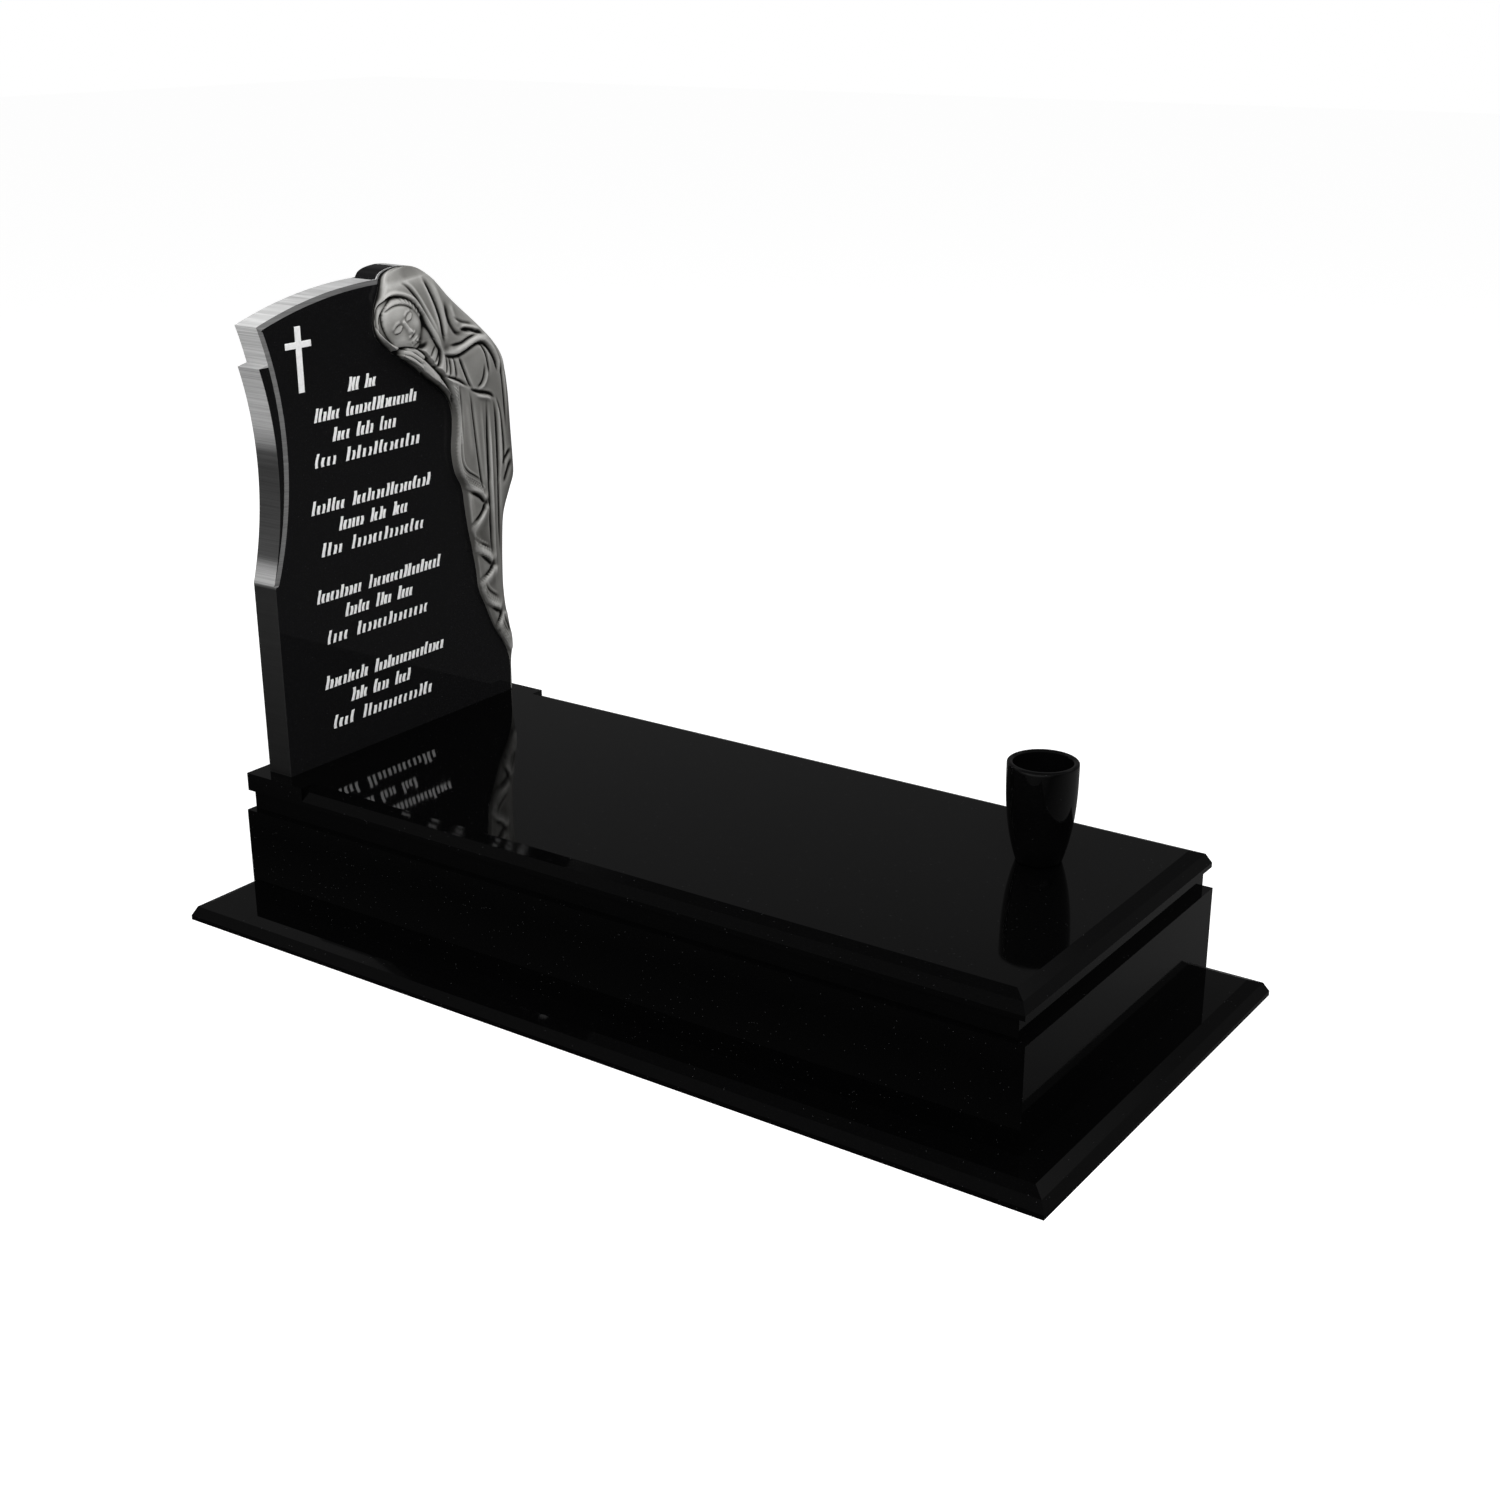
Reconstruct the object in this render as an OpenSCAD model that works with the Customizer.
// Single grave monument of black granite: an apron, a kerb and a recessed
// spacer course, each of four mitred stones; a bevelled ledger slab; a plinth
// slab; a headstone with a veiled figure carved along its right side; a vase.
// Millimetres, +Z up, origin at the centre of the underside. The head end is
// towards +Y, and the polished face of the headstone looks towards -Y.

/* [Apron] */
// Overall width of the monument, across the apron
apron_w = 1000; // [900:10:1300]
// Overall length of the monument, along the apron
apron_l = 2100; // [1800:10:2600]
// Thickness of the apron stones
apron_t = 40; // [32:1:60]
// How far the apron stands out from the kerb, all round
apron_step = 100; // [70:1:160]
// How far the apron runs in under the kerb
apron_lap = 60; // [50:1:90]

/* [Kerb] */
// Height of the kerb stones
kerb_h = 212; // [120:1:300]
// Thickness of the kerb stones
kerb_t = 50; // [40:1:80]

/* [Spacer course] */
// Height of the recessed strip between kerb and ledger
spacer_h = 45; // [20:1:80]
// Width of the spacer strips, seen from above
spacer_w = 36; // [25:1:60]
// Set-back of the spacer from the long faces of the kerb
spacer_side = 10; // [5:1:25]
// Set-back of the spacer from the end faces of the kerb
spacer_end = 18; // [5:1:25]

/* [Ledger and plinth] */
// Thickness of the ledger and of the headstone plinth
ledger_t = 40; // [30:1:70]
// Set-back of the ledger and plinth from the faces of the kerb
ledger_inset = 4; // [0:0.5:30]
// Depth of the plinth slab, from front to back
plinth_d = 166; // [150:1:300]

/* [Edge bevel] */
// Height of the upright arris under the bevel
arris_h = 10; // [5:0.5:20]
// How far in the steep lower facet of the bevel runs
steep_in = 11; // [5:0.5:16]
// How far below the top the shallow upper facet starts
shallow_drop = 9.5; // [5:0.5:14]
// How far in the whole bevel runs
bevel_in = 36; // [20:0.5:60]

/* [Headstone] */
// Width the headstone is drawn to: twice its reach to the left at its foot
head_w = 720; // [600:5:780]
// Height of the top of the arched edge above the plinth
head_h = 1017; // [900:5:1200]
// Thickness of the headstone without the figure
head_t = 65; // [50:1:90]
// Set-back of the headstone from the back of the plinth
head_back = 34; // [10:1:60]
// How far the top left corner stands in from the foot
shoulder_in = 8; // [0:1:40]
// How far the arched top falls from its middle to the top left corner
arch_rise = 57; // [30:1:120]
// Height of the spur at the lower end of the hollow left edge
spur_h = 425; // [300:5:520]
// Depth of the hollow in the left edge of the polished face
hollow = 49; // [20:1:80]
// Depth of the hollow in the outer edge of the wing
wing_hollow = 34; // [15:1:60]
// Height of the top of the stepped wing above the plinth
wing_h = 877; // [760:1:900]
// How far the wing stands out from the polished face at its top
wing_out = 26; // [12:1:40]
// Width of the shallow bevel round the polished face
face_bevel = 10; // [4:0.5:20]
// Depth of that bevel
face_drop = 3; // [1:0.5:8]

/* [Figure] */
// Forward projection of the figure from the polished face, at the head
figure_out = 44; // [25:1:50]
// Forward projection of the drapery at the hem
hem_out = 18; // [8:1:25]
// Depth of the drapery folds, as a factor
fold_depth = 1; // [0.5:0.05:1.3]

/* [Vase] */
// Diameter of the vase at its mouth
vase_d = 140; // [110:1:180]
// Diameter of the vase at its foot
vase_foot_d = 90; // [70:1:110]
// Height of the vase
vase_h = 206; // [150:1:280]
// Wall thickness of the vase
vase_wall = 12; // [8:1:18]
// Thickness of the vase's bottom
vase_floor = 25; // [12:1:40]
// Distance of the vase's centre from the right edge of the ledger
vase_side = 244; // [110:1:380]
// Distance of the vase's centre from the foot edge of the ledger
vase_front = 260; // [110:1:600]

/* [Hidden] */

polished = [0.10, 0.10, 0.11];
honed = [0.55, 0.54, 0.52];

// Half sizes and levels of the courses
kerb_x = apron_w/2 - apron_step;
kerb_y = apron_l/2 - apron_step;
ledger_x = kerb_x - ledger_inset;
ledger_y = kerb_y - ledger_inset;
kerb_z = apron_t;
spacer_z = kerb_z + kerb_h;
ledger_z = spacer_z + spacer_h;
top_z = ledger_z + ledger_t;
plinth_y = ledger_y - plinth_d;

// Plan of one mitred stone: a trapezium whose outer edge lies at y = -out
// and whose ends run in at 45 degrees for its width
module mitred_plan(half, out, wide) {
    polygon([
        [-half, -out],
        [half, -out],
        [half - wide, -out + wide],
        [-half + wide, -out + wide]
    ]);
}

// Cross-section of a bevelled edge, with its outer face at 0 and the top at t
function bevel_section(depth, t) = [
    [0, 0],
    [depth, 0],
    [depth, t],
    [bevel_in, t],
    [steep_in, t - shallow_drop],
    [0, arris_h]
];

// A bevelled prism along X, with its outer face at y = -out
module bevelled_prism(half, out, depth, t) {
    translate([-half, -out, 0])
        rotate([90, 0, 90])
            linear_extrude(2*half)
                polygon(bevel_section(depth, t));
}

// One apron stone: outer face at y = -out, length 2*half
module apron_stone(half, out) {
    wide = apron_step + apron_lap;
    intersection() {
        bevelled_prism(half, out, wide, apron_t);
        linear_extrude(apron_t)
            mitred_plan(half, out, wide);
    }
}

// One plain stone of a course: outer face at y = -out, length 2*half
module course_stone(half, out, wide, h) {
    linear_extrude(h)
        mitred_plan(half, out, wide);
}

module apron_left() {
    color(polished) rotate(-90) apron_stone(apron_l/2, apron_w/2);
}

module apron_right() {
    color(polished) rotate(90) apron_stone(apron_l/2, apron_w/2);
}

module apron_foot() {
    color(polished) apron_stone(apron_w/2, apron_l/2);
}

module apron_head() {
    color(polished) rotate(180) apron_stone(apron_w/2, apron_l/2);
}

// A kerb stone standing on the apron
module kerb_stone(half, out) {
    color(polished)
        translate([0, 0, kerb_z])
            course_stone(half, out, kerb_t, kerb_h);
}

module kerb_left() {
    rotate(-90) kerb_stone(kerb_y, kerb_x);
}

module kerb_right() {
    rotate(90) kerb_stone(kerb_y, kerb_x);
}

module kerb_foot() {
    kerb_stone(kerb_x, kerb_y);
}

module kerb_head() {
    rotate(180) kerb_stone(kerb_x, kerb_y);
}

// A spacer strip standing on the kerb
module spacer_strip(half, out) {
    color(polished)
        translate([0, 0, spacer_z])
            course_stone(half, out, spacer_w, spacer_h);
}

module spacer_left() {
    rotate(-90) spacer_strip(kerb_y - spacer_end, kerb_x - spacer_side);
}

module spacer_right() {
    rotate(90) spacer_strip(kerb_y - spacer_end, kerb_x - spacer_side);
}

module spacer_foot() {
    spacer_strip(kerb_x - spacer_side, kerb_y - spacer_end);
}

module spacer_head() {
    rotate(180) spacer_strip(kerb_x - spacer_side, kerb_y - spacer_end);
}

// The ledger: bevelled on both long sides and at the foot, square at the
// head, where it butts against the plinth
module ledger_slab() {
    long = ledger_y + plinth_y;
    color(polished)
        translate([0, 0, ledger_z])
            intersection() {
                translate([0, -ledger_y, 0])
                    bevel_across(long);
                bevelled_prism(ledger_x, ledger_y, long, ledger_t);
            }
}

// A slab bevelled along both long sides, running from y = 0 to y = long
module bevel_across(long) {
    w = ledger_x;
    translate([0, long, 0])
        rotate([90, 0, 0])
            linear_extrude(long)
                polygon([
                    [-w, 0],
                    [w, 0],
                    [w, arris_h],
                    [w - steep_in, ledger_t - shallow_drop],
                    [w - bevel_in, ledger_t],
                    [-w + bevel_in, ledger_t],
                    [-w + steep_in, ledger_t - shallow_drop],
                    [-w, arris_h]
                ]);
}

module headstone_plinth() {
    color(polished)
        translate([-ledger_x, plinth_y, ledger_z])
            cube([2*ledger_x, plinth_d, ledger_t]);
}

// ---- Headstone ----
// Its own frame has x across, z up from the plinth, and the polished face at
// y = 0 with the back at y = head_t. Curves of the figure are drawn for a
// stone of drawn_w by drawn_h and follow the stone when its size changes.
drawn_w = 720;
drawn_h = 1017;
sx = head_w/drawn_w;
sz = head_h/drawn_h;
half_w = head_w/2;
shoulder_x = -half_w + shoulder_in;
shoulder_z = head_h - arch_rise;
arch_r = (pow(shoulder_x, 2) + pow(arch_rise, 2))/(2*arch_rise);
wing_fall = 5;
join_x = -8*sx;
join_z = head_h - arch_r + sqrt(pow(arch_r, 2) - pow(join_x, 2));

// Right edge of the stone, which is the back of the figure, as [z, x]
back_line = [
    [0, 364], [130, 363], [175, 352], [230, 339], [300, 333], [400, 335], [450, 342],
    [500, 366], [530, 381], [565, 382], [650, 376], [740, 369], [790, 360], [830, 339],
    [880, 291], [960, 193], [1005, 146], [1028, 111], [1036, 86], [1038.4, 64]
];
// Left edge of the figure, where it rises from the polished face, as [z, x]
front_line = [
    [0, 360], [70, 360], [113, 347], [171, 309], [232, 281], [275, 262], [323, 256],
    [378, 246], [423, 236], [478, 228], [525, 221], [563, 201], [613, 193], [663, 199],
    [698, 200], [735, 186], [767, 151], [794, 112], [832, 62], [859, 18], [890, -19],
    [920, -30], [953, -26], [978, -16], [1008, -3]
];
// Left edge of the figure's crown, above the arch, as [z, x]
crown_line = [
    [join_z/sz, join_x/sx], [1028, 2], [1034, 18], [1037, 36], [1038.4, 54]
];
crown_top = 1038.4;
brow_z = 1003;

function mix(a, b, t) = a + (b - a)*t;

// Index of the stretch of a list of [z, x] that holds z
function leg(p, z, i = 0) = (i >= len(p) - 2 || z < p[i + 1][0]) ? i : leg(p, z, i + 1);

function slope(p, i) =
    let (a = p[max(0, i - 1)], b = p[min(len(p) - 1, i + 1)])
    (b[1] - a[1])/(b[0] - a[0]);

// Smooth curve through a list of [z, x], read at z
function curve(p, z) =
    let (
        i = leg(p, z),
        d = p[i + 1][0] - p[i][0],
        t = max(0, min(1, (z - p[i][0])/d)),
        t2 = t*t,
        t3 = t2*t
    )
    p[i][1]*(2*t3 - 3*t2 + 1) + p[i + 1][1]*(3*t2 - 2*t3)
        + d*slope(p, i)*(t3 - 2*t2 + t) + d*slope(p, i + 1)*(t3 - t2);

function line_x(p, z) = sx*curve(p, z/sz);

// x at height z of a round arc between two points, bulging to the right
function arc_x(z, z0, x0, z1, x1, sag) =
    let (c = (z1 - z0)/2, r = (c*c + sag*sag)/(2*sag), d = z - (z0 + z1)/2)
    mix(x0, x1, (z - z0)/(z1 - z0)) + sqrt(r*r - d*d) - r + sag;

// Left edge of the polished face and the outer edge of the wing
function face_x(z) = z <= spur_h
    ? -half_w
    : arc_x(z, spur_h, -half_w, shoulder_z, shoulder_x, hollow);

function wing_x(z) =
    arc_x(z, spur_h, -half_w, wing_h, face_x(wing_h) - wing_out, wing_hollow);

// Folds and ridges of the drapery, each a bent stroke from one end over a
// middle point to the other: [x, z, x, z, x, z, half width, height]
folds = [
    [-38, 950, 20, 1016, 95, 945, 11, 9],
    [95, 945, 125, 905, 153, 850, 10, 9],
    [17, 1010, 75, 985, 136, 880, 10, 4],
    [100, 1008, 140, 960, 154, 862, 9, -11],
    [118, 1000, 158, 945, 168, 866, 10, 6],
    [152, 962, 166, 895, 209, 876, 9, -6],
    [160, 842, 205, 848, 255, 869, 14, 11],
    [255, 869, 318, 872, 345, 770, 11, 6],
    [205, 890, 245, 886, 285, 868, 8, -8],
    [190, 832, 205, 790, 245, 745, 8, -6],
    [272, 848, 308, 810, 285, 748, 8, -6],
    [135, 806, 190, 775, 245, 742, 8, -6],
    [245, 742, 275, 722, 305, 736, 8, 6],
    [228, 742, 246, 690, 262, 560, 9, -9],
    [262, 560, 268, 530, 279, 490, 8, -7],
    [289, 725, 298, 650, 297, 520, 8, -9],
    [297, 520, 296, 400, 300, 300, 8, -9],
    [313, 730, 331, 660, 330, 520, 8, -8],
    [330, 520, 326, 400, 322, 260, 8, -7],
    [338, 735, 352, 690, 356, 590, 8, -6],
    [188, 770, 186, 680, 192, 590, 10, 3],
    [200, 536, 262, 520, 280, 481, 8, -10],
    [280, 481, 270, 455, 224, 424, 8, -10],
    [216, 408, 262, 375, 295, 340, 8, -9],
    [298, 322, 280, 300, 250, 293, 8, -9],
    [255, 263, 280, 230, 318, 215, 8, -8],
    [318, 195, 312, 182, 305, 172, 7, -7]
];

// Rounded masses under the drapery: [x, z, half length, half width, turn, height]
masses = [
    [255, 795, 60, 42, 80, 9],
    [40, 918, 66, 50, -35, 14],
    [80, 818, 78, 24, -42, 12]
];

// Squared distance from a point to one straight leg
function leg_d2(px, pz, ax, az, bx, bz) =
    let (
        ux = bx - ax,
        uz = bz - az,
        t = max(0, min(1, ((px - ax)*ux + (pz - az)*uz)/(ux*ux + uz*uz)))
    )
    pow(px - ax - t*ux, 2) + pow(pz - az - t*uz, 2);

// Point at t along a bent stroke
function bend(f, t) = [
    (1 - t)*(1 - t)*f[0] + 2*t*(1 - t)*f[2] + t*t*f[4],
    (1 - t)*(1 - t)*f[1] + 2*t*(1 - t)*f[3] + t*t*f[5]
];

stroke_legs = 5;
stroke_points = [for (f = folds) [for (i = [0:stroke_legs]) bend(f, i/stroke_legs)]];

function stroke_d2(p, x, z) =
    min([for (i = [0:stroke_legs - 1]) leg_d2(x, z, p[i][0], p[i][1], p[i + 1][0], p[i + 1][1])]);

function stroke(k, x, z) =
    let (
        f = folds[k],
        reach = 2.4*f[6],
        near = x > min(f[0], f[2], f[4]) - reach && x < max(f[0], f[2], f[4]) + reach
            && z > min(f[1], f[3], f[5]) - reach && z < max(f[1], f[3], f[5]) + reach
    )
    near ? f[7]*exp(-stroke_d2(stroke_points[k], x, z)/(f[6]*f[6])) : 0;

function mass(m, x, z) =
    let (
        dx = x - m[0],
        dz = z - m[1],
        a = (dx*cos(m[4]) + dz*sin(m[4]))/m[2],
        b = (dz*cos(m[4]) - dx*sin(m[4]))/m[3],
        q = 1 - a*a - b*b
    )
    q > 0 ? m[5]*sqrt(q) : 0;

function sum(v, i = 0) = i >= len(v) ? 0 : v[i] + sum(v, i + 1);

// Depth of the figure over the polished face, before folds, by height
function body_out(z) = curve([
    [0, 0], [70, 1], [130, hem_out*0.7], [220, hem_out], [420, mix(hem_out, figure_out, 0.4)],
    [650, figure_out*0.78], [860, figure_out*0.86], [930, figure_out*0.72],
    [1000, figure_out*0.6], [crown_top, figure_out*0.3]
], z);

// How the relief swells from its left edge and turns over at its right edge
function swell(u) =
    sqrt(1 - pow(1 - min(1, u/0.2), 2))
        * mix(0.3, 1, sqrt(1 - pow(max(0, (u - 0.8)/0.2), 2)));

// Height of the relief at a point of the drawn figure, u across it
function relief(x, z, u) =
    let (
        e = swell(u),
        carving = sum([for (k = [0:len(folds) - 1]) stroke(k, x, z)]),
        body = sum([for (m = masses) mass(m, x, z)])
    )
    max(0, e*(body_out(z) + body + fold_depth*carving));

// ---- Rows of the stone, from its foot to the crown ----
spur_rows = 34;
wing_rows = 36;
neck_rows = 7;
arch_rows = 9;
crown_rows = 5;
relief_columns = 30;
face_columns = 4;
rim = 4;

// One row: outline point, wing point, bevel point, figure's left and right
// edges, each as [x, z], and the depth of the outermost front edge
function low_row(z) = [
    [-half_w, z], [-half_w, z], [-half_w + 0.6, z],
    [line_x(front_line, z), z], [line_x(back_line, z), z], 2
];

function side_row(z) = [
    [wing_x(z), z], [face_x(z), z], [face_x(z) + face_bevel, z],
    [line_x(front_line, z), z], [line_x(back_line, z), z], z > spur_h ? 0 : 2
];

function neck_row(z) = [
    [face_x(z), z], [face_x(z), z], [face_x(z) + face_bevel, z],
    [line_x(front_line, z), z], [line_x(back_line, z), z], 2
];

function arch_row(t) =
    let (
        x = mix(shoulder_x, join_x, t),
        z = head_h - arch_r + sqrt(arch_r*arch_r - x*x),
        inner = (arch_r - face_bevel)/arch_r,
        front_z = mix(shoulder_z, brow_z*sz, t),
        back_z = mix(shoulder_z, join_z, t)
    )
    [
        [x, z], [x, z],
        [t == 0 ? x + face_bevel : x*inner, head_h - arch_r + (z - head_h + arch_r)*inner],
        [line_x(front_line, front_z), front_z], [line_x(back_line, back_z), back_z], 2
    ];

function crown_row(t) =
    let (
        z = mix(join_z, crown_top*sz, 1 - pow(1 - t, 1.6)),
        x = line_x(crown_line, z),
        drop = rim*(1 - t)
    )
    [
        [x, z], [x, z], [x + 0.3*rim, z - 0.5*drop],
        [x + rim*0.9, z - drop], [line_x(back_line, z), z], 2
    ];

rows = concat(
    [for (i = [0:spur_rows - 1]) low_row(spur_h*i/spur_rows)],
    [for (i = [0:wing_rows]) side_row(mix(spur_h, wing_h, i/wing_rows))],
    [for (i = [0:neck_rows - 1])
        neck_row(mix(wing_h + wing_fall, shoulder_z, i/neck_rows))],
    [for (i = [0:arch_rows]) arch_row(i/arch_rows)],
    [for (i = [1:crown_rows]) crown_row(i/crown_rows)]
);

// Spacing of the relief columns, closer together at both edges
function spread(s) = s + 0.09*sin(360*s - 180);

// Points of one row, from the back left edge over the front to the back right
function row_points(r) =
    let (
        face = [for (i = [1:face_columns])
            let (p = mix(r[2], r[3], i/face_columns))
            [p[0], 0, p[1]]],
        figure = [for (i = [1:relief_columns])
            let (u = spread(i/relief_columns), p = mix(r[3], r[4], u))
            [p[0], -relief(p[0]/sx, p[1]/sz, u), p[1]]]
    )
    concat(
        [[r[0][0], head_t, r[0][1]], [r[0][0], face_drop + r[5], r[0][1]],
            [r[1][0], face_drop - (r[2][0] - r[1][0] < 1 ? face_drop/2 : 0), r[1][1]],
            [r[2][0], 0, r[2][1]]],
        face,
        figure,
        [[r[4][0], head_t, r[4][1]]]
    );

module headstone() {
    grid = [for (r = rows) row_points(r)];
    n = len(grid[0]);
    last = len(grid) - 1;
    points = [for (r = grid, p = r) p];
    skin = [for (j = [0:last - 1], i = [0:n - 1])
        let (a = j*n + i, b = j*n + (i + 1)%n)
        each [[a, a + n, b + n], [a, b + n, b]]];
    foot = [for (i = [0:n - 3]) [n - 1, i, i + 1]];
    crown = [for (i = [0:n - 3]) [last*n + n - 1, last*n + i + 1, last*n + i]];
    color(honed)
        translate([0, ledger_y - head_back - head_t, top_z])
            polyhedron(points = points, faces = concat(skin, foot, crown), convexity = 8);
}

// ---- Vase ----
// Its outline swells quickly above the foot and is almost upright at the mouth
function vase_r(t) = mix(vase_foot_d/2, vase_d/2, 1 - pow(1 - t, 2.8));
vase_steps = 12;
lip_r = vase_wall/3;

module flower_vase() {
    outer = [for (i = [0:vase_steps]) let (t = i/vase_steps) [vase_r(t), (vase_h - lip_r)*t]];
    inner = [for (i = [vase_steps:-1:0])
        let (t = mix(vase_floor/vase_h, 1, i/vase_steps))
        [vase_r(t) - vase_wall, (vase_h - lip_r)*t]];
    lip = [for (a = [30:30:150])
        [vase_d/2 - vase_wall/2 + vase_wall/2*cos(a), vase_h - lip_r + lip_r*sin(a)]];
    color(polished)
        translate([ledger_x - vase_side, -ledger_y + vase_front, top_z])
            rotate_extrude($fn = 96)
                polygon(concat([[0, 0]], outer, lip, inner, [[0, inner[vase_steps][1]]]));
}

apron_left();
apron_right();
apron_foot();
apron_head();
kerb_left();
kerb_right();
kerb_foot();
kerb_head();
spacer_left();
spacer_right();
spacer_foot();
spacer_head();
ledger_slab();
headstone_plinth();
headstone();
flower_vase();
